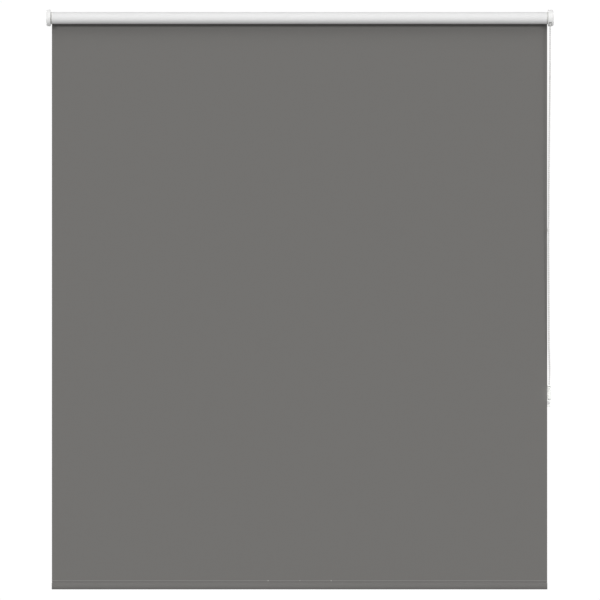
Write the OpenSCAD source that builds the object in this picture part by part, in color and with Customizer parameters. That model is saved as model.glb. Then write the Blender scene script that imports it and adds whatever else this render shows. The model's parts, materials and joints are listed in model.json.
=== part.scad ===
// Roller blind with a bead-chain drive, hung between two wall brackets.
// X runs along the roller, the wall is the plane Y = 0, the room is towards -Y and Z is up.
// The origin is the centre of the four wall-screw holes.

/* [Blind] */
// Width over both end covers
overall_w = 1400; // [1000:10:1600]
// Drop from the roller axis to the underside of the hem
drop = 1576; // [1400:1:1900]
// Distance of the roller axis from the wall
axis_to_wall = 32; // [30:0.5:36]

/* [Roller] */
// Outer diameter of the tube
tube_d = 32; // [31:0.5:33]
// Wall of the tube
tube_wall = 1.2; // [1:0.1:1.4]
// Thickness of the cloth
cloth_t = 0.4; // [0.3:0.05:0.5]
// Thickness of the tape that holds the cloth to the tube
tape_t = 0.1; // [0.05:0.01:0.15]
// Width of the key rib inside the tube
key_w = 2; // [1.6:0.1:2.4]

/* [End covers] */
// Diameter of the covers
cover_d = 46; // [45:0.5:48]
// Wall of the covers
cover_wall = 1.5; // [1.3:0.1:1.8]
// Rounding of the covers' outer edge
cover_round = 6.5; // [4:0.5:6.5]
// Depth of the cover at the idle end
idle_cover_depth = 12.7; // [12:0.1:13]
// Depth of the cover at the drive end
drive_cover_depth = 16.4; // [16.2:0.1:16.6]

/* [Brackets] */
// Thickness of the bracket steel
plate_t = 2; // [1.5:0.1:2]
// Height of the brackets
plate_h = 32; // [28:1:32]
// Length of the bracket foot along the wall
foot_l = 38; // [36:1:44]
// Diameter of the wall-screw holes
screw_hole_d = 5; // [4:0.5:6]
// Height between the two holes of a bracket
screw_hole_pitch = 18; // [16:1:20]

/* [Chain drive] */
// Diameter of a bead
bead_d = 4.5; // [4.4:0.05:4.5]
// Distance between beads
bead_pitch = 6; // [6:0.01:6.05]
// Distance of the chain's plane from the outer face of the drive cover
chain_inset = 10.5; // [10.4:0.1:10.6]

/* [Chain tensioner] */
// Width of the tensioner's trough
tensioner_w = 8.4; // [8.2:0.1:9.6]
// Width of the tensioner's base
tensioner_base_w = 14; // [12:0.5:18]
// Height of the tensioner
tensioner_h = 60; // [58:1:64]
// Diameter of the tensioner's screw hole
tensioner_hole_d = 4.2; // [4:0.1:4.5]

/* [Hem] */
// Height of the hem pocket with its weld
hem_h = 25; // [24:1:30]
// Height of the bar in the hem
bar_h = 17.8; // [15:0.1:18]
// Thickness of the bar
bar_t = 10.1; // [8:0.1:10.5]
// Wall of the bar
bar_wall = 1; // [0.8:0.1:1.5]

/* [Hidden] */

$fn = 64;
OVAL_SIDES = 48;
end_x = overall_w / 2;
steel = "gainsboro";
nylon = "whitesmoke";
cover_white = "white";
gap = 0.3;
running = 0.05;
cut = 1;
hole_x = end_x - 28;
bend_r = 3;
post_at = 12;
plate_slot_d = 14;
lip_round = 1.2;

// Roller and the cloth on it
tube_r = tube_d / 2;
bore_r = tube_r - tube_wall;
roller_x = [-end_x + 15.5, end_x - 18];
roller_l = roller_x[1] - roller_x[0];
key_h = 1.5;
key_clearance = 0.2;
tape_angle = 36;
roll_r = tube_r + tape_t + cloth_t;
plug_r = bore_r - running;
plug_l = 35;
flange_t = 1.4;

// Idle end, from the cover inwards
idle_face_x = -end_x;
idle_plate_x = idle_face_x + 2.1;
bushing_r = 6;
bushing_flange_r = 9;
bushing_flange_t = 1.5;
bushing_end_x = idle_face_x + 7.6;
pin_r = 3;
pin_tip_x = idle_face_x + 1.8;
pin_tail_x = idle_face_x + 36;
collar_x = idle_face_x + 16.4;
collar_t = 2;
collar_r = 5.7;
cavity_r = 6.2;
cavity_end_x = idle_face_x + 45;
idle_flange_t = 2;
pin_wire_r = 0.5;
pin_coil_r = 4.5;
pin_coil_turns = 7;

// Drive end, from the cover inwards
pockets = 16;
pocket_w = bead_d + 0.3;
drive_plate_x = end_x - 3.8 - plate_t;
chain_x = end_x - chain_inset;
wheel_w = 6.4;
pitch_r = bead_pitch * pockets / (2 * PI);
wheel_r = pitch_r + 0.1;
pocket_r = bead_d / 2 + 0.15;
groove_w = 1.8;
groove_r = pitch_r - 0.9;
link_r = 0.6;
spindle_r = 6;
spindle_l = 49.5;
spindle_bore_r = 2;
guard_r = 20.6;
guard_wall = 1.2;
guard_open_angle = 140;
guard_hole_r = 10.2;
sleeve_r = [7.9, 9.4];
sleeve_x = end_x - 36;
window_angle = 60;
finger_angle = 30;
hub_bore_r = 9.8;
hub_end_wall = 10;
hub_end_x = end_x - 55;
coil_wire_r = 0.55;
coil_r = 6.9;
coil_turns = 5;
coil_step = 1.4;
coil_starts = [end_x - 34.5, end_x - 25.8];
tang_r = 9.1;
tang_angle = 22;
lug_r = 2;
lug_y = 11;
screw_head_r = 3.5;
screw_head_t = 2;
screw_l = 14;
recess = [4, 0.8, 1];
chain_slot_w = 8;
chain_slot_top = -8;

// Chain tensioner
tensioner_x = end_x - 12.5;
tensioner_top = -1013;
guide_y = -15;
guide_z = -1040;
guide_r = 5.9;
trough_r = 11.8;
tensioner_wall = 1.3;
tensioner_base_t = 2.5;
tensioner_hole = [tensioner_x + (tensioner_w - tensioner_base_w) / 2, -1062];
eyelet_wall = 0.5;
eyelet_flange_r = 3.4;

// Hanging cloth and hem
cloth_y = -axis_to_wall + roll_r + gap + cloth_t / 2;
hem_bottom = -drop;
hem_top = hem_bottom + hem_h;
pocket_size = [bar_t, bar_h] + 2 * (running + cloth_t) * [1, 1];
pocket_z = hem_bottom + pocket_size[1] / 2;
cap_t = 1.2;
cap_overhang = 0.4;
bar_x = [roller_x[0] - cap_overhang + cap_t, roller_x[1] + cap_overhang - cap_t];
cap_tongue_l = 10;

// Route of the bead chain, its X counted from the drive cover's outer face:
// down the front run, round the tensioner's guide and up the rear run
CHAIN_ROUTE = [
    [-10.5, -47.3, -9], [-10.8, -47, -40], [-11.2, -46, -110], [-12.2, -44, -210],
    [-13.5, -41, -330], [-14.6, -38.5, -450], [-15.4, -35.4, -585], [-15.5, -33.6, -665],
    [-14.8, -31.5, -750], [-14.4, -28.9, -840], [-14.1, -27.2, -905], [-12.8, -25.8, -945],
    [-12, -24.6, -982], [-12.7, -23.7, -1015], [-12.8, -23.5, -1040], [-12.8, -22.5, -1044],
    [-12.8, -19.5, -1047.5], [-12.8, -15, -1048.5], [-12.8, -10.5, -1047.5],
    [-12.8, -7.5, -1044], [-12.8, -6.5, -1040], [-12.6, -6.4, -1015], [-10.8, -6.6, -982],
    [-11.1, -7.1, -945], [-12.2, -7.7, -905], [-12.5, -8.6, -840], [-12.8, -9.6, -750],
    [-13.5, -10.6, -665], [-13.4, -11.4, -585], [-12.6, -12.7, -450], [-11.6, -14, -330],
    [-10.4, -15.2, -210], [-9.7, -16.2, -110], [-9.9, -16.6, -40], [-10.5, -16.7, -9]
];
ROUTE_STEPS = 2;
chain_sides = 8;
connector_at = [-15.4, -35.4, -585];
connector_r = [2.5, 3.1];
connector_l = 9;

function unit(v) = v / norm(v);
function heading(path, i) = unit(path[min(i + 1, len(path) - 1)] - path[max(i - 1, 0)]);
function side_of(t) = unit(cross(t, [1, 0, 0]));
function ring(centre, t, r, n) =
    let (s = side_of(t), u = cross(s, t))
    [for (k = [0:n - 1]) centre + r * (cos(360 * k / n) * s + sin(360 * k / n) * u)];
function blend4(a, b, c, d, t) =
    0.5 * (2 * b + (c - a) * t + (2 * a - 5 * b + 4 * c - d) * t * t + (3 * b - a - 3 * c + d) * t * t * t);
function smooth(p, n) = concat(
    [for (i = [0:len(p) - 2]) for (k = [0:n - 1])
        blend4(p[max(i - 1, 0)], p[i], p[i + 1], p[min(i + 2, len(p) - 1)], k / n)],
    [p[len(p) - 1]]
);
function on_circle(x, r, a) = [x, -axis_to_wall + r * cos(a), r * sin(a)];
function helix(x0, r, pitch, from, to, per_turn) =
    let (n = ceil((to - from) / 360 * per_turn))
    [for (i = [0:n]) let (a = from + (to - from) * i / n)
        on_circle(x0 + pitch * (a - from) / 360, r, a)];
function arc(centre, r, from, to, n) =
    [for (i = [0:n]) let (a = from + (to - from) * i / n) centre + r * [cos(a), sin(a)]];

// A round wire or cord of n sides along a path
module swept(path, r, n) {
    last = len(path) - 1;
    polyhedron(
        points = [for (i = [0:last]) each ring(path[i], heading(path, i), r, n)],
        faces = concat(
            [[for (k = [0:n - 1]) k]],
            [for (i = [0:last - 1]) for (k = [0:n - 1]) let (a = i * n, m = (k + 1) % n)
                [a + k, a + n + k, a + n + m, a + m]],
            [[for (k = [n - 1:-1:0]) last * n + k]]
        )
    );
}

// Places a shape drawn along +Z on the roller axis, with its start at x
module on_axis(x) {
    translate([x, -axis_to_wall, 0]) rotate([0, 90, 0]) children();
}

// A round bar on the roller axis between two x
module shaft(r, x0, x1) {
    on_axis(x0) cylinder(r = r, h = x1 - x0);
}

// A ring on the roller axis between two x
module collar_ring(r0, r1, x0, x1) {
    on_axis(x0) rotate_extrude() translate([r0, 0]) square([r1 - r0, x1 - x0]);
}

// Part of a ring on the roller axis, centred on an angle measured from straight up towards the wall
module ring_sector(r0, r1, x0, x1, middle, spread) {
    on_axis(x0) rotate([0, 0, 180 - middle - spread / 2]) rotate_extrude(angle = spread)
        translate([r0, 0]) square([r1 - r0, x1 - x0]);
}

// A flat shape drawn in the YZ plane, given a length along X
module across(x0, length) {
    translate([x0, 0, 0]) rotate([90, 0, 90]) linear_extrude(length) children();
}

// An oval in the YZ plane, in the middle of the hem's pocket
module oval(size) {
    translate([cloth_y, pocket_z])
        polygon([for (i = [0:OVAL_SIDES - 1]) let (a = 360 * i / OVAL_SIDES)
            [size[0] * cos(a), size[1] * sin(a)] / 2]);
}

// Round shell, closed and rounded at z = depth and open at z = 0
module cup(depth) {
    r = cover_d / 2;
    inner_round = cover_round - cover_wall;
    rotate_extrude($fn = 96) polygon(concat(
        [[r - cover_wall, 0]],
        arc([r - lip_round, lip_round], lip_round, 270, 360, 4),
        arc([r - cover_round, depth - cover_round], cover_round, 0, 90, 14),
        [[0, depth], [0, depth - cover_wall]],
        arc([r - cover_round, depth - cover_round], inner_round, 90, 0, 10)
    ));
}

// The slot in a cover's rear rim that its bracket's side plate runs through
module plate_slot(plate_x) {
    translate([plate_x - gap, -axis_to_wall + cover_d / 2 - plate_slot_d, -plate_h / 2 - gap])
        cube([plate_t + 2 * gap, plate_slot_d + cut, plate_h + 2 * gap]);
}

// Three posts between a cover's end wall and its bracket's side plate
module cover_posts(x0, x1) {
    for (a = [90, 210, 330])
        on_axis(x0) rotate([0, 0, a]) translate([post_at, 0, 0]) cylinder(r = lug_r, h = x1 - x0, $fn = 24);
}

// Bent steel bracket for the right-hand end, its side plate starting at x
module bracket(x) {
    outer_x = x + plate_t;
    foot_x = outer_x - foot_l;
    difference() {
        intersection() {
            linear_extrude(plate_h, center = true) polygon(concat(
                [[foot_x, 0]],
                arc([outer_x - bend_r, -bend_r], bend_r, 90, 0, 6),
                [[outer_x, -axis_to_wall - plate_h / 2], [x, -axis_to_wall - plate_h / 2]],
                arc([outer_x - bend_r, -bend_r], bend_r - plate_t, 0, 90, 4),
                [[foot_x, -plate_t]]
            ));
            across(foot_x - cut, foot_l + 2 * cut) {
                translate([-axis_to_wall, -plate_h / 2]) square([axis_to_wall + cut, plate_h]);
                translate([-axis_to_wall, 0]) circle(d = plate_h);
            }
        }
        for (z = [-1, 1] * screw_hole_pitch / 2)
            translate([hole_x, cut, z]) rotate([90, 0, 0]) cylinder(d = screw_hole_d, h = plate_t + 2 * cut);
    }
}

// A pan-head screw on the roller axis, its head starting at x and its shank going the way of side
module cross_screw(x, side) {
    on_axis(x) rotate([side > 0 ? 0 : 180, 0, 0]) difference() {
        union() {
            translate([0, 0, -screw_head_t]) cylinder(r = screw_head_r, h = screw_head_t);
            cylinder(r = spindle_bore_r, h = screw_l);
        }
        for (a = [0, 90])
            rotate([0, 0, a]) translate([-recess[0] / 2, -recess[1] / 2, -screw_head_t - cut])
                cube([recess[0], recess[1], recess[2] + cut]);
    }
}

// The key slot that the tube's rib runs in
module key_slot(x0, x1) {
    w = key_w + 2 * key_clearance;
    translate([x0, -axis_to_wall - w / 2, bore_r - key_h - key_clearance])
        cube([x1 - x0, w, key_h + key_clearance + cut]);
}

module idle_bracket() {
    color(steel) difference() {
        mirror([1, 0, 0]) bracket(-idle_plate_x - plate_t);
        shaft(bushing_r, idle_plate_x - cut, idle_plate_x + plate_t + cut);
    }
}

module idle_bracket_cover() {
    color(cover_white) {
        difference() {
            translate([idle_face_x + idle_cover_depth, -axis_to_wall, 0]) rotate([0, -90, 0])
                cup(idle_cover_depth);
            plate_slot(idle_plate_x);
        }
        cover_posts(idle_face_x + cover_wall / 2, idle_plate_x);
    }
}

module idle_bushing() {
    flange_x = idle_plate_x + plate_t;
    color(nylon) difference() {
        union() {
            shaft(bushing_r, idle_plate_x, bushing_end_x);
            shaft(bushing_flange_r, flange_x, flange_x + bushing_flange_t);
        }
        shaft(pin_r + running, idle_plate_x - cut, bushing_end_x + cut);
    }
}

module drive_bracket() {
    color(steel) difference() {
        bracket(drive_plate_x);
        shaft(spindle_bore_r + running, drive_plate_x - cut, drive_plate_x + plate_t + cut);
        for (side = [-1, 1])
            translate([0, side * lug_y, 0])
                shaft(lug_r, drive_plate_x - cut, drive_plate_x + plate_t + cut);
    }
}

module drive_bracket_cover() {
    color(cover_white) {
        difference() {
            on_axis(end_x - drive_cover_depth) cup(drive_cover_depth);
            plate_slot(drive_plate_x);
            for (side = [-1, 1])
                translate([chain_x, -axis_to_wall + side * pitch_r, chain_slot_top - cover_d / 2])
                    cube([wheel_w, chain_slot_w, cover_d], center = true);
        }
        cover_posts(drive_plate_x + plate_t, end_x - cover_wall / 2);
    }
}

module clutch_housing() {
    wall_x = drive_plate_x - guard_wall;
    rim_x = chain_x - wheel_w / 2 - gap;
    color(nylon) {
        difference() {
            shaft(guard_r, rim_x, drive_plate_x);
            shaft(guard_r - guard_wall, rim_x - cut, wall_x);
            shaft(spindle_r, wall_x - cut, drive_plate_x + cut);
            ring_sector(guard_r - 2 * guard_wall, guard_r + cut, rim_x - cut, wall_x, 180, guard_open_angle);
        }
        for (side = [-1, 1])
            translate([0, side * lug_y, 0]) shaft(lug_r, drive_plate_x, drive_plate_x + plate_t);
    }
}

module chain_guard() {
    face_x = chain_x - wheel_w / 2 - gap;
    color(nylon) collar_ring(guard_hole_r, guard_r, face_x - guard_wall, face_x);
}

module clutch_spindle() {
    color("silver") difference() {
        shaft(spindle_r, drive_plate_x - spindle_l, drive_plate_x);
        shaft(spindle_bore_r, drive_plate_x - spindle_l - cut, drive_plate_x + cut);
    }
}

module clutch_screw() {
    color("silver") cross_screw(drive_plate_x + plate_t, -1);
}

module spindle_washer() {
    inner_x = drive_plate_x - spindle_l;
    color("silver") collar_ring(spindle_bore_r, hub_bore_r - 1, inner_x - 1, inner_x);
}

module spindle_screw() {
    color("silver") cross_screw(drive_plate_x - spindle_l - 1, 1);
}

module roller_tube() {
    color("silver") {
        collar_ring(bore_r, tube_r, roller_x[0], roller_x[1]);
        translate([roller_x[0], -axis_to_wall - key_w / 2, bore_r - key_h])
            cube([roller_l, key_w, key_h + tube_wall / 2]);
    }
}

module fabric_tape() {
    color("lightyellow") ring_sector(tube_r, tube_r + tape_t, roller_x[0], roller_x[1], 90, tape_angle);
}

module fabric_roll() {
    color("white") collar_ring(tube_r + tape_t, roll_r, roller_x[0], roller_x[1]);
}

module idle_plug() {
    flange_x = roller_x[0] - idle_flange_t;
    color(nylon) difference() {
        union() {
            shaft(plug_r, roller_x[0], roller_x[0] + plug_l);
            shaft(tube_r, flange_x, roller_x[0]);
        }
        shaft(cavity_r, flange_x - cut, cavity_end_x);
        key_slot(roller_x[0], roller_x[0] + plug_l + cut);
    }
}

module idle_plug_cap() {
    flange_x = roller_x[0] - idle_flange_t;
    color(nylon) collar_ring(pin_r + running, cavity_r, flange_x, flange_x + idle_flange_t);
}

module idle_pin() {
    color("silver") {
        difference() {
            shaft(pin_r, pin_tip_x, pin_tail_x);
            collar_ring(pin_r - 0.5, pin_r + cut, pin_tip_x - cut, pin_tip_x + 0.5);
        }
        shaft(collar_r, collar_x, collar_x + collar_t);
    }
}

module idle_pin_spring() {
    start_x = collar_x + collar_t + pin_wire_r;
    length = cavity_end_x - pin_wire_r - start_x;
    color("silver")
        swept(
            helix(start_x, pin_coil_r, length / pin_coil_turns, 0, 360 * pin_coil_turns, 12),
            pin_wire_r, 6
        );
}

module drive_hub() {
    face_x = roller_x[1] + flange_t;
    color(nylon) {
        difference() {
            union() {
                shaft(plug_r, hub_end_x, roller_x[1]);
                shaft(tube_r, roller_x[1], face_x);
            }
            shaft(hub_bore_r, hub_end_x + hub_end_wall, face_x + cut);
            shaft(spindle_r + running, hub_end_x - cut, face_x);
            key_slot(hub_end_x - cut, roller_x[1]);
        }
        ring_sector(sleeve_r[0], hub_bore_r, sleeve_x - 1, roller_x[1], 0, finger_angle);
    }
}

module wrap_springs() {
    lead = 90 + tang_angle;
    trail = 360 * coil_turns + 90 - tang_angle;
    color("dimgray") for (x = coil_starts)
        swept(concat(
            [on_circle(x, tang_r, lead)],
            helix(x, coil_r, coil_step, lead, trail, 12),
            [on_circle(x + coil_step * (trail - lead) / 360, tang_r, trail)]
        ), coil_wire_r, 6);
}

module chain_wheel() {
    wheel_x = chain_x - wheel_w / 2;
    color(nylon) {
        difference() {
            shaft(wheel_r, wheel_x, wheel_x + wheel_w);
            shaft(spindle_r + running, wheel_x - cut, wheel_x + wheel_w + cut);
            collar_ring(groove_r, wheel_r + cut, chain_x - groove_w / 2, chain_x + groove_w / 2);
            on_axis(chain_x - pocket_w / 2) for (i = [0:pockets - 1])
                rotate([0, 0, 360 * i / pockets]) translate([0, pitch_r, 0])
                    cylinder(r = pocket_r, h = pocket_w, $fn = 32);
        }
        difference() {
            collar_ring(sleeve_r[0], sleeve_r[1], sleeve_x, wheel_x);
            ring_sector(
                sleeve_r[0] - cut, sleeve_r[1] + cut, sleeve_x - cut, roller_x[1] + 1,
                0, window_angle
            );
        }
    }
}

module chain_over_wheel() {
    step = 360 / pockets;
    chord = 2 * pitch_r * sin(step / 2);
    color("white") {
        for (i = [0:pockets / 2]) translate([chain_x, -axis_to_wall, 0]) rotate([i * step, 0, 0])
            translate([0, pitch_r, 0]) sphere(d = bead_d, $fn = 32);
        for (i = [0:pockets / 2 - 1]) translate([chain_x, -axis_to_wall, 0]) rotate([i * step, 0, 0])
            translate([0, pitch_r, 0]) rotate([step / 2, 0, 0]) cylinder(r = link_r, h = chord, $fn = 24);
        for (side = [-1, 1]) translate([chain_x, -axis_to_wall + side * pitch_r, -bead_pitch]) {
            sphere(d = bead_d, $fn = 32);
            cylinder(r = link_r, h = bead_pitch, $fn = 24);
        }
    }
}

module bead_chain() {
    color("white") translate([end_x, 0, 0])
        swept(smooth(CHAIN_ROUTE, ROUTE_STEPS), bead_d / 2, chain_sides);
}

module chain_connector() {
    color("white") translate(connector_at + [end_x, 0, -connector_l / 2])
        rotate_extrude($fn = 32) translate([connector_r[0], 0])
            square([connector_r[1] - connector_r[0], connector_l]);
}

// Side outline of the tensioner: round below, square towards the wall and above
module tensioner_side() {
    r = trough_r + tensioner_wall;
    translate([guide_y, guide_z]) circle(r = r);
    translate([guide_y - r, guide_z]) square([-guide_y + r, tensioner_top - guide_z]);
    translate([guide_y, guide_z - r]) square([-guide_y, r]);
}

module tensioner_body() {
    x0 = tensioner_x - tensioner_w / 2;
    inner_x = x0 + tensioner_wall;
    depth = tensioner_w - tensioner_wall;
    color("white", 0.5) difference() {
        union() {
            across(inner_x, depth) difference() {
                tensioner_side();
                translate([guide_y, guide_z]) circle(r = trough_r);
                translate([guide_y - trough_r, guide_z])
                    square([2 * trough_r, tensioner_top - guide_z + cut]);
            }
            across(x0 + tensioner_w - tensioner_wall, tensioner_wall) tensioner_side();
            across(inner_x, depth) translate([guide_y, guide_z]) circle(r = guide_r);
            translate([x0 + tensioner_w - tensioner_base_w, -tensioner_base_t, tensioner_top - tensioner_h])
                cube([tensioner_base_w, tensioner_base_t, tensioner_h]);
        }
        translate([tensioner_hole[0], cut, tensioner_hole[1]]) rotate([90, 0, 0])
            cylinder(r = tensioner_hole_d / 2 + eyelet_wall, h = tensioner_base_t + 2 * cut);
    }
}

// Steel eyelet round the tensioner's screw hole
module tensioner_eyelet() {
    hole_r = tensioner_hole_d / 2;
    color("silver") translate([tensioner_hole[0], 0, tensioner_hole[1]]) rotate([90, 0, 0])
        rotate_extrude() {
            translate([hole_r, 0]) square([eyelet_wall, tensioner_base_t + eyelet_wall]);
            translate([hole_r, tensioner_base_t]) square([eyelet_flange_r - hole_r, eyelet_wall]);
        }
}

module tensioner_cover() {
    color("white", 0.5) difference() {
        across(tensioner_x - tensioner_w / 2, tensioner_wall) tensioner_side();
        translate([tensioner_x - tensioner_w / 2 - cut, -tensioner_base_t, tensioner_top - tensioner_h])
            cube([tensioner_w, tensioner_base_t + cut, tensioner_h + cut]);
    }
}

module fabric_sheet() {
    color("gray") translate([roller_x[0], cloth_y - cloth_t / 2, hem_top + gap])
        cube([roller_l, cloth_t, -hem_top - gap]);
}

module hem_pocket() {
    overlap = 1;
    pocket_top = hem_bottom + pocket_size[1] - overlap;
    color("gray") across(bar_x[0], bar_x[1] - bar_x[0]) difference() {
        union() {
            oval(pocket_size);
            translate([cloth_y - cloth_t, pocket_top]) square([2 * cloth_t, hem_top - pocket_top]);
        }
        oval(pocket_size - 2 * cloth_t * [1, 1]);
    }
}

module bottom_bar() {
    color("silver") across(bar_x[0], bar_x[1] - bar_x[0]) difference() {
        oval([bar_t, bar_h]);
        oval([bar_t, bar_h] - 2 * bar_wall * [1, 1]);
    }
}

// End cap of the hem, its plate starting at x and its tongue in the bar on the plate's inner side
module bar_cap(x, side) {
    tongue_x = side > 0 ? x - cap_tongue_l : x + cap_t;
    color("dimgray") {
        across(x, cap_t) oval(pocket_size);
        across(tongue_x, cap_tongue_l) oval([bar_t, bar_h] - 2 * (bar_wall + running) * [1, 1]);
    }
}

module bar_cap_left() {
    bar_cap(bar_x[0] - cap_t, -1);
}

module bar_cap_right() {
    bar_cap(bar_x[1], 1);
}

idle_bracket();
idle_bracket_cover();
idle_bushing();
drive_bracket();
drive_bracket_cover();
clutch_housing();
chain_guard();
clutch_spindle();
clutch_screw();
spindle_washer();
spindle_screw();
roller_tube();
fabric_tape();
fabric_roll();
idle_plug();
idle_plug_cap();
drive_hub();
wrap_springs();
idle_pin();
idle_pin_spring();
chain_wheel();
chain_over_wheel();
bead_chain();
chain_connector();
tensioner_body();
tensioner_cover();
tensioner_eyelet();
fabric_sheet();
hem_pocket();
bottom_bar();
bar_cap_left();
bar_cap_right();
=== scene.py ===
"""Looks of the roller blind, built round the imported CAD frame.

Metres: +X along the roller, +Y into the wall, +Z up.
"""

import json
import math

import bmesh
import bpy
import numpy as np
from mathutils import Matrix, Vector


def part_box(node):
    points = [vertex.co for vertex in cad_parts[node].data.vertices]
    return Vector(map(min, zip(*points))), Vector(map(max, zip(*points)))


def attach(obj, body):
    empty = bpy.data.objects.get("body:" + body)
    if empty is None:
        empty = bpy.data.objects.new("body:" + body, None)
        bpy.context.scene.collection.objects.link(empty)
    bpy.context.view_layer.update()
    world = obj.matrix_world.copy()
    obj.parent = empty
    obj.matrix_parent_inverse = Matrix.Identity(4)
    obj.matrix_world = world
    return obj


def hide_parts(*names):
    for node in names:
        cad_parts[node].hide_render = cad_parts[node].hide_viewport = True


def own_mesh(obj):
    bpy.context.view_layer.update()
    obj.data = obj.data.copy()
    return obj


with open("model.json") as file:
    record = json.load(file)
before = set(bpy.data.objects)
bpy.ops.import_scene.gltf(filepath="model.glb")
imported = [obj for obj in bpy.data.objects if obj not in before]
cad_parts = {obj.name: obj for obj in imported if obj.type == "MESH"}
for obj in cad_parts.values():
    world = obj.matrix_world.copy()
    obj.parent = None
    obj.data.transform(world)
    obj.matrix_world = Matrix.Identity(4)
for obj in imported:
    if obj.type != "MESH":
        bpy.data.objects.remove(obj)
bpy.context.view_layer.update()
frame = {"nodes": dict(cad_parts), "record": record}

MM = 0.001

# ---------------------------------------------------------------- places, from the frame


def middle(node):
    low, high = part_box(node)
    return (low + high) / 2


def size(node):
    low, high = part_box(node)
    return high - low


roll_low, roll_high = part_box("fabric_roll")
sheet_low, sheet_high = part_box("fabric_sheet")
hem_low, hem_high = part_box("hem_pocket")
axis_y = (roll_low.y + roll_high.y) / 2
roll_r = (roll_high.z - roll_low.z) / 2
tube_r = size("roller_tube").z / 2
cloth_y = (sheet_low.y + sheet_high.y) / 2
cloth_t = sheet_high.y - sheet_low.y
cloth_w = sheet_high.x - sheet_low.x
wheel_x = middle("chain_over_wheel").x


def on_axis(x, r, degrees):
    """A point round the roller axis: 0 degrees is towards the wall and 90 is up."""
    a = math.radians(degrees)
    return (x, axis_y + r * math.cos(a), r * math.sin(a))


# ---------------------------------------------------------------- camera, light and floor

LENS_MM = 500
SENSOR_MM = 36
# Height of what the front view takes in at the roller's axis, and the height of its middle
VIEW_HEIGHT = 1.6542
VIEW_CENTRE_Z = -0.7776
# Strength of the white surroundings: as they are seen, and as they light from below and from above
SEEN = 1.02
FILL_BELOW = 0.42
FILL_ABOVE = 0.1
HORIZON_BLUR = 0.25
# Pairs of lights, one on each side: azimuth and elevation in degrees, strength, and spread in degrees
LIGHT_PAIRS = {
    "key": (25, 18.3, 1.0, 12),
    "high": (25, 49.1, 0.54, 34),
    "side": (90, 8, 0.6, 30),
    "rear": (140, 6, 1.1, 40),
}
FLOOR_Z = -1.76
FLOOR_R = 1.45
FLOOR_SIDES = 96
FLOOR_GREY = (0.82, 0.82, 0.82, 1)
# Share of the floor's radius at which it starts to fade
FADE_START = 0.5


def set_inputs(node, **values):
    for key, value in values.items():
        node.inputs[key.replace("_", " ")].default_value = value


def camera():
    data = bpy.data.cameras.new("camera")
    data.lens = LENS_MM
    data.sensor_width = SENSOR_MM
    data.clip_end = 100
    obj = bpy.data.objects.new("camera", data)
    obj.location = (0, axis_y - VIEW_HEIGHT * LENS_MM / SENSOR_MM, VIEW_CENTRE_Z)
    obj.rotation_euler = (math.radians(90), 0, 0)
    bpy.context.scene.collection.objects.link(obj)
    bpy.context.scene.camera = obj


def sun(name, azimuth, elevation, strength, spread):
    """A soft light from far away. Azimuth 0 is the camera's side and 90 is the right."""
    light = bpy.data.lights.new(name, "SUN")
    light.energy = strength
    light.angle = math.radians(spread)
    obj = bpy.data.objects.new(name, light)
    a, e = math.radians(azimuth), math.radians(elevation)
    towards = Vector((math.sin(a) * math.cos(e), -math.cos(a) * math.cos(e), math.sin(e)))
    obj.rotation_euler = towards.to_track_quat("Z", "Y").to_euler()
    bpy.context.scene.collection.objects.link(obj)


def studio():
    """White surroundings that light softly from everywhere, with pairs of soft lights round the blind."""
    world = bpy.data.worlds.new("studio")
    bpy.context.scene.world = world
    world.use_nodes = True
    nodes, links = world.node_tree.nodes, world.node_tree.links
    nodes.clear()
    split = nodes.new("ShaderNodeSeparateXYZ")
    links.new(nodes.new("ShaderNodeTexCoord").outputs["Generated"], split.inputs[0])
    ramp = nodes.new("ShaderNodeMapRange")
    ramp.interpolation_type = "SMOOTHSTEP"
    set_inputs(ramp, From_Min=-HORIZON_BLUR, From_Max=HORIZON_BLUR, To_Min=FILL_BELOW, To_Max=FILL_ABOVE)
    links.new(split.outputs["Z"], ramp.inputs["Value"])
    fill = nodes.new("ShaderNodeBackground")
    links.new(ramp.outputs[0], fill.inputs["Strength"])
    seen = nodes.new("ShaderNodeBackground")
    seen.inputs["Strength"].default_value = SEEN
    for shader in (fill, seen):
        shader.inputs["Color"].default_value = (1, 1, 1, 1)
    path = nodes.new("ShaderNodeLightPath")
    direct = path.outputs["Is Camera Ray"]
    for kind in ("Is Transmission Ray", "Is Glossy Ray"):
        either = nodes.new("ShaderNodeMath")
        either.operation = "MAXIMUM"
        links.new(direct, either.inputs[0])
        links.new(path.outputs[kind], either.inputs[1])
        direct = either.outputs[0]
    mix = nodes.new("ShaderNodeMixShader")
    out = nodes.new("ShaderNodeOutputWorld")
    links.new(direct, mix.inputs["Fac"])
    links.new(fill.outputs[0], mix.inputs[1])
    links.new(seen.outputs[0], mix.inputs[2])
    links.new(mix.outputs[0], out.inputs["Surface"])
    for name, (azimuth, *settings) in LIGHT_PAIRS.items():
        for side, label in ((-1, "left"), (1, "right")):
            sun(f"{name}_{label}", side * azimuth, *settings)
    bpy.context.scene.view_settings.view_transform = "Standard"


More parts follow.
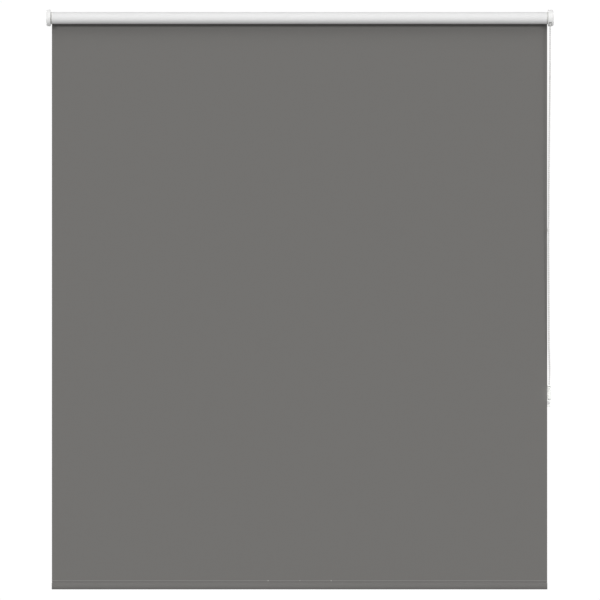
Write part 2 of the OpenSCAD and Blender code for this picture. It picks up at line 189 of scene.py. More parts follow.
def floor():
    """A pale round floor that fades out into the white surroundings, for views from above."""
    mat = bpy.data.materials.new("floor")
    mat.use_nodes = True
    nodes, links = mat.node_tree.nodes, mat.node_tree.links
    nodes.clear()
    place = nodes.new("ShaderNodeVectorMath")
    place.operation = "LENGTH"
    links.new(nodes.new("ShaderNodeTexCoord").outputs["Object"], place.inputs[0])
    fade = nodes.new("ShaderNodeMapRange")
    fade.interpolation_type = "SMOOTHSTEP"
    set_inputs(fade, From_Min=FADE_START * FLOOR_R, From_Max=FLOOR_R, To_Min=0, To_Max=1)
    links.new(place.outputs["Value"], fade.inputs["Value"])
    pale = nodes.new("ShaderNodeBsdfDiffuse")
    pale.inputs["Color"].default_value = FLOOR_GREY
    mix = nodes.new("ShaderNodeMixShader")
    out = nodes.new("ShaderNodeOutputMaterial")
    links.new(fade.outputs[0], mix.inputs["Fac"])
    links.new(pale.outputs[0], mix.inputs[1])
    links.new(nodes.new("ShaderNodeBsdfTransparent").outputs[0], mix.inputs[2])
    links.new(mix.outputs[0], out.inputs["Surface"])
    mesh = bpy.data.meshes.new("floor")
    turns = [math.tau * k / FLOOR_SIDES for k in range(FLOOR_SIDES)]
    rim = [(FLOOR_R * math.cos(a), FLOOR_R * math.sin(a), 0) for a in turns]
    mesh.from_pydata(rim, [], [tuple(range(FLOOR_SIDES))])
    mesh.materials.append(mat)
    obj = bpy.data.objects.new("floor", mesh)
    obj.location = (0, 0, FLOOR_Z)
    for kind in ("diffuse", "glossy", "transmission", "shadow"):
        setattr(obj, "visible_" + kind, False)
    bpy.context.scene.collection.objects.link(obj)


# ---------------------------------------------------------------- finishes


class Finish:
    """A Principled material, with short ways to add the nodes that give it detail."""

    def __init__(self, name, colour, roughness, **inputs):
        self.mat = bpy.data.materials.new(name)
        self.mat.use_nodes = True
        self.tree = self.mat.node_tree
        self.bsdf = self.tree.nodes["Principled BSDF"]
        self.colour = (*colour, 1)
        self.bsdf.inputs["Base Color"].default_value = self.colour
        self.bsdf.inputs["Roughness"].default_value = roughness
        set_inputs(self.bsdf, **inputs)
        self.normal = None

    def node(self, kind, **settings):
        made = self.tree.nodes.new("ShaderNode" + kind)
        for key, value in settings.items():
            setattr(made, key, value)
        return made

    def link(self, a, b):
        self.tree.links.new(a, b)

    def math(self, operation, a, b=0.0):
        made = self.node("Math", operation=operation)
        for socket, value in zip(made.inputs, (a, b)):
            if isinstance(value, (int, float)):
                socket.default_value = value
            else:
                self.link(value, socket)
        return made.outputs[0]

    def axes(self):
        """The place in the piece's own frame, which is the shared frame at rest, as x, y and z."""
        split = self.node("SeparateXYZ")
        self.link(self.node("TexCoord").outputs["Object"], split.inputs[0])
        return split.outputs

    def noise(self, per_metre, stretch=(1, 1, 1), detail=3):
        """Noise from 0 to 1, with that many features a metre, drawn out along the stretched axes."""
        mapping = self.node("Mapping")
        mapping.inputs["Scale"].default_value = [per_metre / s for s in stretch]
        self.link(self.node("TexCoord").outputs["Object"], mapping.inputs[0])
        made = self.node("TexNoise")
        made.inputs["Scale"].default_value = 1
        made.inputs["Detail"].default_value = detail
        self.link(mapping.outputs[0], made.inputs["Vector"])
        return made.outputs["Fac"]

    def spread(self, value, low, high):
        made = self.node("MapRange")
        set_inputs(made, To_Min=low, To_Max=high)
        self.link(value, made.inputs["Value"])
        return made.outputs[0]

    def shade(self, value, amount):
        """Darker and lighter by that share, with a value from 0 to 1."""
        made = self.node("HueSaturation")
        made.inputs["Color"].default_value = self.colour
        self.link(self.spread(value, 1 - amount, 1 + amount), made.inputs["Value"])
        self.link(made.outputs[0], self.bsdf.inputs["Base Color"])

    def rough(self, value, low, high):
        self.link(self.spread(value, low, high), self.bsdf.inputs["Roughness"])

    def bump(self, value, depth):
        """Relief that is depth metres high from a value of 0 to one of 1."""
        made = self.node("Bump")
        made.inputs["Strength"].default_value = 1
        made.inputs["Distance"].default_value = depth
        self.link(value, made.inputs["Height"])
        if self.normal:
            self.link(self.normal, made.inputs["Normal"])
        self.normal = made.outputs[0]
        self.link(self.normal, self.bsdf.inputs["Normal"])


# From one thread of the weave to the next
THREAD = 0.45 * MM


def cloth(name, colour, roughness, relief, uneven, rolled=False):
    """Fine plain weave: threads over and under each other, slightly uneven both ways, with a faint sheen."""
    f = Finish(name, colour, roughness, Sheen_Weight=0.08, Sheen_Roughness=0.5, Specular_IOR_Level=0.2)
    x, y, z = f.axes()
    along = z
    if rolled:
        along = f.math("MULTIPLY", f.math("ARCTAN2", f.math("SUBTRACT", y, axis_y), z), roll_r)
    turn = math.pi / THREAD
    across = f.math("SINE", f.math("MULTIPLY", x, turn))
    down = f.math("SINE", f.math("MULTIPLY", along, turn))
    threads = f.math("MULTIPLY_ADD", f.math("MULTIPLY", across, down), 0.5)
    threads.node.inputs[2].default_value = 0.5
    slubs = f.math("MULTIPLY", f.math("ADD", f.noise(900, (60, 1, 1), 2), f.noise(900, (1, 60, 60), 2)), 0.5)
    tone = f.math("ADD", f.math("MULTIPLY", slubs, 0.75), f.math("MULTIPLY", threads, 0.25))
    f.shade(tone, uneven)
    f.rough(threads, roughness - 0.05, roughness + 0.05)
    f.bump(threads, relief)
    return f.mat


def plastic(name, colour, roughness, **inputs):
    """Moulded plastic: a faint texture from the tool and slightly uneven gloss."""
    f = Finish(name, colour, roughness, **inputs)
    f.shade(f.noise(60), 0.015)
    f.rough(f.noise(250), roughness - 0.06, roughness + 0.06)
    f.bump(f.noise(2500, detail=2), 0.01 * MM)
    return f.mat


def powder_coat(name, colour):
    """Powder coat with its fine orange peel."""
    f = Finish(name, colour, 0.42, Coat_Weight=0.2, Coat_Roughness=0.3)
    f.shade(f.noise(40), 0.02)
    f.rough(f.noise(500), 0.36, 0.48)
    f.bump(f.noise(900, detail=1), 0.03 * MM)
    return f.mat


def metal(name, colour, roughness, stretch):
    """Bare metal, with drawing lines along the stretched axis."""
    f = Finish(name, colour, roughness, Metallic=1.0, Anisotropic=0.4)
    f.shade(f.noise(80, stretch), 0.05)
    lines = f.noise(3000, stretch, 2)
    f.rough(lines, roughness - 0.08, roughness + 0.12)
    f.bump(lines, 0.004 * MM)
    return f.mat


def clear(name):
    """Clear polycarbonate, a little frosted by its mould."""
    f = Finish(name, (0.88, 0.885, 0.87), 0.12, IOR=1.49, Transmission_Weight=0.94)
    f.shade(f.noise(90), 0.015)
    f.rough(f.noise(300), 0.06, 0.16)
    f.bump(f.noise(1200, detail=2), 0.01 * MM)
    return f.mat


ALONG_X = (80, 1, 1)
EVEN = (1, 1, 1)
CLOTH_GREY = (0.155, 0.1515, 0.1452)
# The weld's grey is lighter than the cloth's as a painted highlight: it stands in for the light the weld
# line catches
WELD_HIGHLIGHT_GREY = (0.215, 0.211, 0.203)
# The spot welds' light grey is a painted highlight: it stands in for the shine of the little domes
SPOT_HIGHLIGHT_GREY = (0.34, 0.335, 0.32)
CLOTH_WHITE = (0.765, 0.765, 0.765)

FINISHES = {
    "powder_white": powder_coat("powder_white", (0.80, 0.80, 0.79)),
    "cover_white": plastic("cover_white", (0.81, 0.81, 0.805), 0.42, Specular_IOR_Level=0.3),
    "cap_grey": plastic("cap_grey", (0.13, 0.13, 0.126), 0.5),
    "nylon_white": plastic("nylon_white", (0.76, 0.76, 0.72), 0.5),
    "zinc_steel": metal("zinc_steel", (0.62, 0.62, 0.60), 0.34, EVEN),
    "spring_steel": metal("spring_steel", (0.12, 0.12, 0.125), 0.4, EVEN),
    "tube_aluminium": metal("tube_aluminium", (0.70, 0.71, 0.72), 0.34, ALONG_X),
    "bar_aluminium": metal("bar_aluminium", (0.68, 0.69, 0.70), 0.36, ALONG_X),
    "tape": plastic("tape", (0.72, 0.66, 0.48), 0.6),
    "cloth_grey": cloth("cloth_grey", CLOTH_GREY, 0.88, 0.03 * MM, 0.05),
    # The weld's lighter grey is a painted highlight along the weld line
    "cloth_weld_highlight": cloth("cloth_weld_highlight", WELD_HIGHLIGHT_GREY, 0.6, 0.01 * MM, 0.03),
    # The spot welds' light grey is a painted highlight
    "cloth_spot_highlight": cloth("cloth_spot_highlight", SPOT_HIGHLIGHT_GREY, 0.5, 0.008 * MM, 0.03),
    "cloth_white": cloth("cloth_white", CLOTH_WHITE, 0.72, 0.012 * MM, 0.02),
    "cloth_white_rolled": cloth("cloth_white_rolled", CLOTH_WHITE, 0.72, 0.012 * MM, 0.02, rolled=True),
    "chain_white": plastic("chain_white", (0.62, 0.62, 0.61), 0.28, Coat_Weight=0.2, Coat_Roughness=0.15),
    "clear_plastic": clear("clear_plastic"),
}

# ---------------------------------------------------------------- mesh helpers

# Edges flatter than this are shaded smooth, and edges of CAD parts sharper than this are rounded
SMOOTH_DEG = 40
SHARP_DEG = 35
# In CAD parts, points closer than this are one, and faces flatter than this are one
SAME_POINT = 0.002 * MM
SAME_FACE_DEG = 0.5
EDGE_SEGMENTS = 2


def smooth(obj):
    obj.data.shade_smooth()
    obj.data.set_sharp_from_angle(angle=math.radians(SMOOTH_DEG))


def piece(name, verts, faces, body, finishes, face_finish=None):
    """A mesh piece that rides on a body. face_finish gives each face its finish by number."""
    mesh = bpy.data.meshes.new(name)
    mesh.from_pydata([tuple(float(c) for c in v) for v in verts], [], faces)
    for finish in finishes:
        mesh.materials.append(FINISHES[finish])
    if face_finish is not None:
        mesh.polygons.foreach_set("material_index", face_finish)
    obj = bpy.data.objects.new(name, mesh)
    bpy.context.scene.collection.objects.link(obj)
    smooth(obj)
    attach(obj, body)
    return obj


def slot_of(node):
    return next(s["material_slot"] for s in frame["record"]["subparts"] if s["node"] == node)


def body_of(node):
    return next(b for b, members in frame["record"]["behaviour"]["bodies"].items() if node in members)


def refined(node, radius):
    """A copy of a CAD node with its sharp edges rounded, which stands for the node."""
    mesh = frame["nodes"][node].data.copy()
    mesh.materials.clear()
    mesh.materials.append(FINISHES[slot_of(node)])
    bm = bmesh.new()
    bm.from_mesh(mesh)
    bmesh.ops.remove_doubles(bm, verts=bm.verts, dist=SAME_POINT)
    bmesh.ops.dissolve_limit(bm, angle_limit=math.radians(SAME_FACE_DEG), verts=bm.verts, edges=bm.edges)
    limit = math.radians(SHARP_DEG)
    sharp = [e for e in bm.edges if len(e.link_faces) == 2 and e.calc_face_angle(0) > limit]
    bmesh.ops.bevel(
        bm, geom=sharp, offset=radius, offset_type="OFFSET", segments=EDGE_SEGMENTS, profile=0.5,
        affect="EDGES", clamp_overlap=True,
    )
    bm.to_mesh(mesh)
    bm.free()
    obj = bpy.data.objects.new(node + "_finished", mesh)
    bpy.context.scene.collection.objects.link(obj)
    smooth(obj)
    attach(obj, body_of(node))
    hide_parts(node)
    return obj


def swept(path, radius, sides):
    """Vertices and faces of a round wire along a path of points."""
    path = np.array(path, float)
    verts, faces = [], []
    for i, p in enumerate(path):
        t = path[min(i + 1, len(path) - 1)] - path[max(i - 1, 0)]
        t /= np.linalg.norm(t)
        s = np.cross(t, (1, 0, 0))
        s /= np.linalg.norm(s)
        u = np.cross(s, t)
        for k in range(sides):
            a = math.tau * k / sides
            verts.append(p + radius * (math.cos(a) * s + math.sin(a) * u))
    for i in range(len(path) - 1):
        for k in range(sides):
            m = (k + 1) % sides
            faces.append((i * sides + k, (i + 1) * sides + k, (i + 1) * sides + m, i * sides + m))
    faces.append(tuple(range(sides)))
    faces.append(tuple((len(path) - 1) * sides + k for k in range(sides))[::-1])
    return verts, faces


# ---------------------------------------------------------------- bead chain

BEAD_D = 4.5 * MM
BEAD_PITCH = 6 * MM
BEAD_SIDES = 14
BEAD_RINGS = 8
LINK_R = 0.55 * MM
LINK_SIDES = 8
# The free chain's route, in mm: down the front run, round the tensioner's guide and up the rear run
CHAIN_ROUTE = [
    (689.5, -47.3, -9), (689.2, -47, -40), (688.8, -46, -110), (687.8, -44, -210), (686.5, -41, -330),
    (685.4, -38.5, -450), (684.6, -35.4, -585), (684.5, -33.6, -665), (685.2, -31.5, -750),
    (685.6, -28.9, -840), (685.9, -27.2, -905), (687.2, -25.8, -945), (688, -24.6, -982),
    (687.3, -23.7, -1015), (687.2, -23.5, -1040), (687.2, -22.5, -1044), (687.2, -19.5, -1047.5),
    (687.2, -15, -1048.5), (687.2, -10.5, -1047.5), (687.2, -7.5, -1044), (687.2, -6.5, -1040),
    (687.4, -6.4, -1015), (689.2, -6.6, -982), (688.9, -7.1, -945), (687.8, -7.7, -905),
    (687.5, -8.6, -840), (687.2, -9.6, -750), (686.5, -10.6, -665), (686.6, -11.4, -585),
    (687.4, -12.7, -450), (688.4, -14, -330), (689.6, -15.2, -210), (690.3, -16.2, -110),
    (690.1, -16.6, -40), (689.5, -16.7, -9),
]
ROUTE_STEPS = 12
WHEEL_STEPS = 48


def smooth_route(points, steps):
    """A smooth curve through the points, which are in mm, with that many steps from each to the next."""
    p = np.array(points, float) * MM
    out = []
    for i in range(len(p) - 1):
        a, b, c, d = p[max(i - 1, 0)], p[i], p[i + 1], p[min(i + 2, len(p) - 1)]
        for t in np.arange(steps) / steps:
            out.append(0.5 * (2 * b + (c - a) * t + (2 * a - 5 * b + 4 * c - d) * t**2
                              + (3 * b - a - 3 * c + d) * t**3))
    return np.array([*out, p[-1]])


def steps_along(path):
    """How far along the path each of its points is."""
    return np.concatenate([[0], np.cumsum(np.linalg.norm(np.diff(path, axis=0), axis=1))])


def ball():
    """A unit ball's vertices and faces, its poles along Z."""
    verts, faces = [(0, 0, 1)], []
    for i in range(1, BEAD_RINGS):
        tilt = math.pi * i / BEAD_RINGS
        for k in range(BEAD_SIDES):
            a = math.tau * k / BEAD_SIDES
            verts.append((math.sin(tilt) * math.cos(a), math.sin(tilt) * math.sin(a), math.cos(tilt)))
    verts.append((0, 0, -1))
    last = len(verts) - 1
    last_ring = last - BEAD_SIDES
    for k in range(BEAD_SIDES):
        m = (k + 1) % BEAD_SIDES
        faces.append((0, 1 + k, 1 + m))
        for i in range(BEAD_RINGS - 2):
            a, b = 1 + i * BEAD_SIDES, 1 + (i + 1) * BEAD_SIDES
            faces.append((a + k, b + k, b + m, a + m))
        faces.append((last, last_ring + m, last_ring + k))
    return np.array(verts), faces


def bead_string(name, beads, cord_path):
    """A ball at each place, and the thin cord that runs through them."""
    unit_ball, unit_faces = ball()
    verts, faces = [], []
    for centre in beads:
        n = len(verts)
        verts.extend(unit_ball * BEAD_D / 2 + centre)
        faces.extend(tuple(n + v for v in f) for f in unit_faces)
    cord_verts, cord_faces = swept(cord_path, LINK_R, LINK_SIDES)
    n = len(verts)
    verts.extend(cord_verts)
    faces.extend(tuple(n + v for v in f) for f in cord_faces)
    return piece(name, verts, faces, "frame", ["chain_white"])


def hanging_chain():
    route = smooth_route(CHAIN_ROUTE, ROUTE_STEPS)
    along = steps_along(route)
    length = along[-1]
    first = BEAD_PITCH / 2
    count = round((length - 2 * first) / BEAD_PITCH) + 1
    places = np.linspace(first, length - first, count)
    beads = np.stack([np.interp(places, along, route[:, k]) for k in range(3)], axis=1)
    obj = bead_string("bead_chain_run", beads, route)
    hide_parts("bead_chain")
    refined("chain_connector", 0.25 * MM)


def beads_on_wheel():
    """The beads in the pockets over the wheel's top half, and the next one down on each side."""
    pitch_r = size("chain_over_wheel").y / 2 - BEAD_D / 2
    pockets = round(math.tau * pitch_r / BEAD_PITCH)
    top = [on_axis(wheel_x, pitch_r, 360 * i / pockets) for i in range(pockets // 2 + 1)]
    line = [on_axis(wheel_x, pitch_r, 180 * i / WHEEL_STEPS) for i in range(WHEEL_STEPS + 1)]
    down = [(wheel_x, axis_y + side * pitch_r, -BEAD_PITCH) for side in (1, -1)]
    ends = [(wheel_x, axis_y + side * pitch_r, -1.5 * BEAD_PITCH) for side in (1, -1)]
    obj = bead_string("bead_chain_on_wheel", [*top, *down], [ends[0], *line, ends[1]])
    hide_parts("chain_over_wheel")


# ---------------------------------------------------------------- cloth

COLUMNS = 140


def ribbon(name, line, thick, x0, x1, body, finishes, edge_pull=None, band=()):
    """A cloth strip: a line in the YZ plane, thickened by thick, drawn out along X.

    Finish 0 is on the side towards the room and 1 on the other. Rows in the band have finish 2 on
    the side towards the room.
    """
    line = np.array(line, float)
    t = np.gradient(line, axis=0)
    t /= np.linalg.norm(t, axis=1)[:, None]
    normal = np.stack([-t[:, 1], t[:, 0]], axis=1)
    half = np.array(thick, float) / 2
    half = half[:, None] if half.ndim else half
    left, right = line - normal * half, line + normal * half
    xs = np.linspace(x0, x1, COLUMNS)
    rows = len(line)
    verts = []
    for side in (left, right):
        for j in range(rows):
            for x in xs:
                y, z = side[j]
                if edge_pull:
                    y = y + edge_pull(x, z)
                verts.append((x, y, z))
    n = rows * COLUMNS
    faces, mats = [], []
    for j in range(rows - 1):
        for i in range(COLUMNS - 1):
            a = j * COLUMNS + i
            quad = (a, a + 1, a + COLUMNS + 1, a + COLUMNS)
            faces.append(quad)
            mats.append(2 if j in band else 0)
            faces.append(tuple(n + v for v in quad[::-1]))
            mats.append(1)
    rim = (
        [j * COLUMNS for j in range(rows)]
        + [(rows - 1) * COLUMNS + i for i in range(1, COLUMNS)]
        + [j * COLUMNS + COLUMNS - 1 for j in range(rows - 2, -1, -1)]
        + list(range(COLUMNS - 2, 0, -1))
    )
    for a, b in zip(rim, rim[1:] + rim[:1]):
        faces.append((b, a, n + a, n + b))
        mats.append(1)
    obj = piece(name, verts, faces, body, finishes, mats)
    bm = bmesh.new()
    bm.from_mesh(obj.data)
    bmesh.ops.recalc_face_normals(bm, faces=bm.faces)
    bm.to_mesh(obj.data)
    bm.free()
    return obj


ROLL_SIDES = 128
ROLL_RINGS = 70
# The cloth's inner face clears the tube, and its outer face leaves room for the ripples
TUBE_GAP = 0.1 * MM
RIPPLE_ROOM = 0.035 * MM
# Ripples of the rolled cloth: height, radians a metre along the roller, and waves round it
RIPPLES = [(0.02 * MM, 9, 2), (0.015 * MM, 31, -1)]


def rolled_cloth():
    """The cloth on the tube, white side out, with the cut edge at each end."""
    angles = [360 * k / ROLL_SIDES for k in range(ROLL_SIDES)]
    rings = []
    for x in np.linspace(roll_low.x, roll_high.x, ROLL_RINGS):
        ring = []
        for degrees in angles:
            a = math.radians(degrees)
            ripple = sum(height * math.sin(along * x + waves * a) for height, along, waves in RIPPLES)
            ring.append(on_axis(x, roll_r - RIPPLE_ROOM + ripple, degrees))
        rings.append(ring)
    for x in (roll_high.x, roll_low.x):
        rings.append([on_axis(x, tube_r + TUBE_GAP, degrees) for degrees in angles])
    verts = [p for ring in rings for p in ring]
    faces = []
    for i in range(len(rings)):
        a, b = i * ROLL_SIDES, (i + 1) % len(rings) * ROLL_SIDES
        for k in range(ROLL_SIDES):
            m = (k + 1) % ROLL_SIDES
            faces.append((a + m, a + k, b + k, b + m))
    obj = piece("rolled_cloth", verts, faces, "roller", ["cloth_white_rolled"])
    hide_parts("fabric_roll")


# The cloth's top, which lies on the roll: its reach, its thickness at the end and how deep that end lies
LEAD_DEG = 10
LEAD_STEPS = 9
FEATHER = 0.03 * MM
FEATHER_DEPTH = 0.06 * MM
# The cloth's bow out of its plane, all over and more beyond EDGE_X at its sides, and the height over
# which it sets in from the roll and from the hem
BOW = 0.35 * MM
EDGE_BOW = 0.5 * MM
EDGE_X = 0.58
EDGE_WIDTH = 0.1
BOW_SETS_IN = 0.08


def hanging_cloth():
    """The hanging cloth, grey in front and white behind.

    Its top lies on the roll and thins out into the roll's own turn.
    """
    line, thick = [], []
    for a in np.linspace(LEAD_DEG, 0, LEAD_STEPS):
        share = a / LEAD_DEG
        t = cloth_t * (1 - share) + FEATHER * share
        inner = (cloth_y - cloth_t / 2 - axis_y) * (1 - share**2) + (roll_r - FEATHER_DEPTH) * share**2
        r = inner + t / 2
        line.append((axis_y + r * math.cos(math.radians(a)), r * math.sin(math.radians(a))))
        thick.append(t)
    # Heights of the rows of vertices, closer together near the roll and near the hem
    rows = [
        *np.linspace(-0.004, -0.06, 10),
        *np.linspace(-0.08, hem_high.z + 0.06, 60)[1:],
        *np.linspace(hem_high.z + 0.05, hem_high.z, 10),
    ]
    for z in rows:
        line.append((cloth_y, z))
        thick.append(cloth_t)

    def bow(x, z):
        if z > 0:
            return 0
        free = min(1, -z / BOW_SETS_IN) * min(1, (z - hem_high.z) / BOW_SETS_IN)
        edge = max(0, (abs(x) - EDGE_X) / EDGE_WIDTH) ** 2
        # Slow waves, in radians a metre
        return free * (BOW * math.sin(3.1 * x + 1.3 * z) + EDGE_BOW * edge * math.sin(6 * z + x))

    finishes = ["cloth_grey", "cloth_white"]
    obj = ribbon("hanging_cloth", line, thick, sheet_low.x, sheet_high.x, "frame", finishes, bow)
    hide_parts("fabric_sheet")
    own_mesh(obj)
    return obj


# The weld: where it starts and ends below the hem's top, how far it stands out and how it rounds off
WELD_TOP = 0.3 * MM
WELD_LOW = 1.6 * MM
WELD_PUFF = 0.25 * MM
WELD_ROUND = 0.3 * MM
WELD_SHOULDER = 0.8 * WELD_PUFF
# The flat web between the hem's top and the bar's pocket, and the cut edge behind the weld
WEB_H = 5.8 * MM
CUT_EDGE = 1.2 * MM
# The web's rows in front and behind, and how far the lowest of them is from the curve below it
WEB_ROWS = 5
FRONT_GAP = 0.3 * MM
BACK_GAP = 0.4 * MM
# Where the web's curve meets the oval, in degrees up from its middle, and how strongly it is drawn there
TOUCH_DEG = 64
TOUCH_PULL = 0.9 * MM
TOUCH_ROWS = 8
OVAL_ROWS = 64
# Height over which the cloth widens past the bar's end caps
CAP_CLEAR = 1.2 * MM
# Spot welds on the weld's line: place along X and width
SPOTS = [(-0.088, 3.4 * MM), (0.0, 2.4 * MM), (0.086, 3.4 * MM)]
SPOT_SIDES = 20
# A spot's rings: share of its radius and how far they stand out from the weld
SPOT_DOME = [(1, -0.1 * MM), (0.9, 0.04 * MM), (0.55, 0.1 * MM)]


def bezier(a, b, c, d, steps):
    """Points (y, z) of a curve that leaves a towards b and reaches d from c."""
    a, b, c, d = (np.array(p) for p in (a, b, c, d))
    return [
        tuple(a * (1 - t) ** 3 + 3 * b * t * (1 - t) ** 2 + 3 * c * t**2 * (1 - t) + d * t**3)
        for t in np.linspace(0, 1, steps)
    ]


def hem():
    """The cloth folded back round the oval bar and welded above it."""
    mid_z = middle("bottom_bar").z
    semi_y = (hem_high.y - hem_low.y) / 2 - cloth_t / 2
    semi_z = mid_z - hem_low.z - cloth_t / 2
    top = hem_high.z
    web_low = top - WEB_H
    front_y = cloth_y - cloth_t / 2
    back_y = cloth_y + cloth_t / 2

    def oval(degrees):
        a = math.radians(degrees)
        return (cloth_y + semi_y * math.cos(a), mid_z + semi_z * math.sin(a))

    def slope(degrees, length):
        a = math.radians(degrees)
        v = np.array([-semi_y * math.sin(a), semi_z * math.cos(a)])
        return v * length / np.linalg.norm(v)

    path = [
        (cloth_y, top),
        (front_y, top - WELD_TOP),
        (front_y - WELD_SHOULDER, top - WELD_TOP - WELD_ROUND),
        (front_y - WELD_PUFF, top - (WELD_TOP + WELD_LOW) / 2),
        (front_y - WELD_SHOULDER, top - WELD_LOW + WELD_ROUND),
    ]
    weld_highlight_rows = range(1, len(path))
    path += [(front_y, z) for z in np.linspace(top - WELD_LOW, web_low + FRONT_GAP, WEB_ROWS)]
    down = np.array((0, -TOUCH_PULL))
    start = np.array((front_y, web_low))
    touch = np.array(oval(180 - TOUCH_DEG))
    path += bezier(start, start + down, touch - slope(180 - TOUCH_DEG, TOUCH_PULL), touch, TOUCH_ROWS)
    path += [oval(a) for a in np.linspace(180 - TOUCH_DEG, 360 + TOUCH_DEG, OVAL_ROWS)[1:-1]]
    end = np.array((back_y, web_low))
    touch = np.array(oval(TOUCH_DEG))
    path += bezier(touch, touch + slope(TOUCH_DEG, TOUCH_PULL), end + down, end, TOUCH_ROWS)
    path += [(back_y, z) for z in np.linspace(web_low + BACK_GAP, top - CUT_EDGE, WEB_ROWS)]
    # The weld's rows get the lighter grey, a painted highlight along the weld line
    finishes = ["cloth_grey", "cloth_grey", "cloth_weld_highlight"]
    obj = ribbon("hem_fold", path, cloth_t, hem_low.x, hem_high.x, "bottom_rail", finishes, band=weld_highlight_rows)
    # Above the bar's end caps the cloth is as wide as the hanging cloth
    wider = cloth_w / (hem_high.x - hem_low.x) - 1
    centre_x = middle("hem_pocket").x
    for v in obj.data.vertices:
        share = min(1, max(0, (v.co.z - web_low) / CAP_CLEAR))
        v.co.x += (v.co.x - centre_x) * wider * share
    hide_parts("hem_pocket")
    return obj


def spot_welds():
    """Small flat spots pressed on the weld's line, each a low round dome."""
    verts, faces = [], []
    weld_y = cloth_y - cloth_t - WELD_PUFF
    z = hem_high.z - (WELD_TOP + WELD_LOW) / 2
    for x, width in SPOTS:
        rings = [len(verts) + i * SPOT_SIDES for i in range(len(SPOT_DOME))]
        for share, out in SPOT_DOME:
            r = share * width / 2
            for k in range(SPOT_SIDES):
                a = math.tau * k / SPOT_SIDES
                verts.append((x + r * math.cos(a), weld_y - out, z + r * math.sin(a)))
        faces.append(tuple(rings[-1] + k for k in range(SPOT_SIDES)))
        faces.append(tuple(rings[0] + k for k in range(SPOT_SIDES))[::-1])
        for a, b in zip(rings, rings[1:]):
            for k in range(SPOT_SIDES):
                m = (k + 1) % SPOT_SIDES
                faces.append((a + k, a + m, b + m, b + k))
    # The spots' lighter grey is a painted highlight on the domes
    obj = piece("hem_spot_welds", verts, faces, "bottom_rail", ["cloth_spot_highlight"])
    return obj


CAP_SIDES = 72


def oval_loft(name, node, sections, finish):
    """A closed piece through ovals about a node's middle, each given as (x, half depth, half height)."""
    centre = middle(node)
    turns = [math.tau * k / CAP_SIDES for k in range(CAP_SIDES)]
    verts = [
        (x, centre.y + a * math.cos(t), centre.z + b * math.sin(t))
        for x, a, b in sections for t in turns
    ]
    last = (len(sections) - 1) * CAP_SIDES
    faces = [tuple(range(CAP_SIDES))[::-1], tuple(last + k for k in range(CAP_SIDES))]
    for i in range(len(sections) - 1):
        a, b = i * CAP_SIDES, (i + 1) * CAP_SIDES
        for k in range(CAP_SIDES):
            m = (k + 1) % CAP_SIDES
            faces.append((a + k, a + m, b + m, b + k))
    if sections[-1][0] < sections[0][0]:
        faces = [f[::-1] for f in faces]
    obj = piece(name, verts, faces, body_of(node), [finish])
    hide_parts(node)
    return obj


# The end caps: rounding of the plate's edge, the plate's thickness, and the tongue's tapered point
CAP_EDGE = 0.35 * MM
CAP_T = 1.2 * MM
POINT_L = 0.8 * MM
POINT_TAPER = 0.6 * MM
# From the bar's outside to the tongue in it
BAR_WALL = 1.05 * MM


def bar_caps():
    """The hem's two end caps: an oval plate with a softened edge, and a tongue that goes into the bar."""
    bar = size("bottom_bar") / 2
    for side, node in ((-1, "bar_cap_left"), (1, "bar_cap_right")):
        low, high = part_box(node)
        outer_x, tongue_x = (high.x, low.x) if side > 0 else (low.x, high.x)
        a, b = (high.y - low.y) / 2, (high.z - low.z) / 2
        c, d = bar.y - BAR_WALL, bar.z - BAR_WALL
        inner_x = outer_x - side * CAP_T
        sections = []
        for t in np.radians([90, 68, 45, 22, 0]):
            behind, cut = CAP_EDGE * (1 - math.sin(t)), CAP_EDGE * (1 - math.cos(t))
            sections.append((outer_x - side * behind, a - cut, b - cut))
        sections += [
            (inner_x, a, b), (inner_x, c, d),
            (tongue_x + side * POINT_L, c, d), (tongue_x, c - POINT_TAPER, d - POINT_TAPER),
        ]
        oval_loft(node + "_finished", node, sections, "cap_grey")


# ---------------------------------------------------------------- springs

WIRE_SIDES = 12
STEPS_A_TURN = 40
PIN_WIRE_R = 0.5 * MM
PIN_TURNS = 7
# From one closed turn to the next, in wire radii
PIN_SHUT = 2.2
# The wrap springs: wire, coil and step from turn to turn, the tangs' reach and their two angles
WRAP_WIRE_R = 0.55 * MM
WRAP_R = 6.9 * MM
WRAP_STEP = 1.4 * MM
TANG_R = 9.1 * MM
TANG_START = 112
TANG_END = 1868
# Degrees from a tang to its innermost point and to the coil
TANG_LEAN = 2
TANG_TO_COIL = 8


def coil(x0, x1, r, start, end):
    """Points of a helix on the roller axis from x0 to x1, between two angles in degrees."""
    count = round((end - start) / 360 * STEPS_A_TURN)
    return [
        on_axis(x0 + (x1 - x0) * i / count, r, start + (end - start) * i / count)
        for i in range(count + 1)
    ]


def pin_spring():
    """The compression spring behind the idle pin's collar, with its end turns closed."""
    low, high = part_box("idle_pin_spring")
    r = (high.z - low.z) / 2 - PIN_WIRE_R
    first, last = low.x + PIN_WIRE_R, high.x - PIN_WIRE_R
    shut = PIN_SHUT * PIN_WIRE_R
    path = coil(first, first + shut, r, 0, 360)
    path += coil(first + shut, last - shut, r, 360, 360 * PIN_TURNS)[1:]
    path += coil(last - shut, last, r, 0, 360)[1:]
    verts, faces = swept(path, PIN_WIRE_R, WIRE_SIDES)
    obj = piece("pin_spring_coil", verts, faces, "idle_pin", ["spring_steel"])
    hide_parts("idle_pin_spring")
    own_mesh(obj)


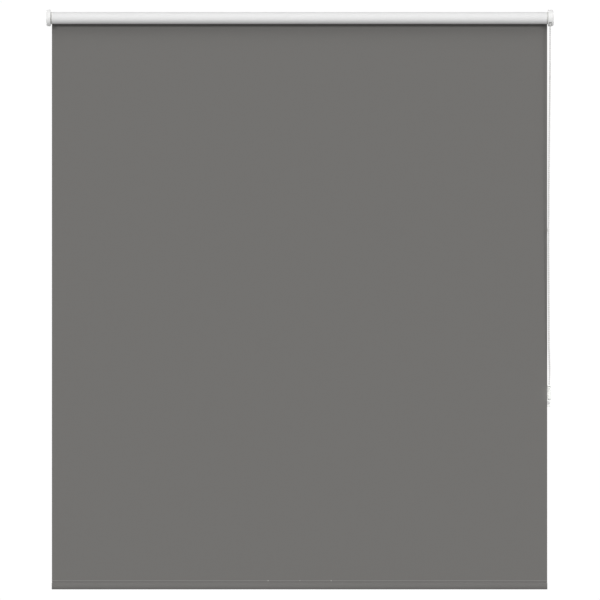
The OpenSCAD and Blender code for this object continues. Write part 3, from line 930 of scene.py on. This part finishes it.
def tang(x, degrees, lean):
    """Points of a bent spring end, from its tip inwards, the last of them lean degrees further round."""
    return [
        on_axis(x, TANG_R, degrees),
        on_axis(x, WRAP_R + 2.4 * WRAP_WIRE_R, degrees),
        on_axis(x, WRAP_R + 0.6 * WRAP_WIRE_R, degrees + lean),
    ]


def clutch_springs():
    """The two wrap springs, each with its ends bent outwards into the sleeve's window."""
    low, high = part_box("wrap_springs")
    length = WRAP_STEP * (TANG_END - TANG_START) / 360
    for name, x in (("inner", low.x + WRAP_WIRE_R), ("outer", high.x - WRAP_WIRE_R - length)):
        path = tang(x, TANG_START, TANG_LEAN)
        path += coil(x, x + length, WRAP_R, TANG_START + TANG_TO_COIL, TANG_END - TANG_TO_COIL)
        path += tang(x + length, TANG_END, -TANG_LEAN)[::-1]
        verts, faces = swept(path, WRAP_WIRE_R, WIRE_SIDES)
        obj = piece("wrap_spring_" + name, verts, faces, "roller", ["spring_steel"])
        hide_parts("wrap_springs")


# ---------------------------------------------------------------- build

# Rounding of the CAD parts' sharp edges, in mm
EDGE_RADII = {
    "idle_bracket": 0.3, "idle_bracket_cover": 0.25, "idle_bushing": 0.25,
    "drive_bracket": 0.3, "drive_bracket_cover": 0.25, "clutch_housing": 0.2, "chain_guard": 0.2,
    "clutch_spindle": 0.2, "clutch_screw": 0.12, "spindle_washer": 0.15, "spindle_screw": 0.12,
    "roller_tube": 0.15, "idle_plug": 0.25, "idle_plug_cap": 0.2, "drive_hub": 0.25, "idle_pin": 0.2,
    "chain_wheel": 0.1, "tensioner_body": 0.25, "tensioner_cover": 0.2, "tensioner_eyelet": 0.12,
    "bottom_bar": 0.15,
}

camera()
hanging_chain()
beads_on_wheel()
studio()
floor()
rolled_cloth()
sheet = hanging_cloth()
fold = hem()
spot_welds()
bar_caps()
pin_spring()
clutch_springs()

for node, radius in EDGE_RADII.items():
    finished = refined(node, radius * MM)
    # Clear plastic lets the light through to the chain inside it
    if slot_of(node) == "clear_plastic":
        finished.visible_shadow = False
tape_mesh = frame["nodes"]["fabric_tape"].data
tape_mesh.materials.clear()
tape_mesh.materials.append(FINISHES["tape"])
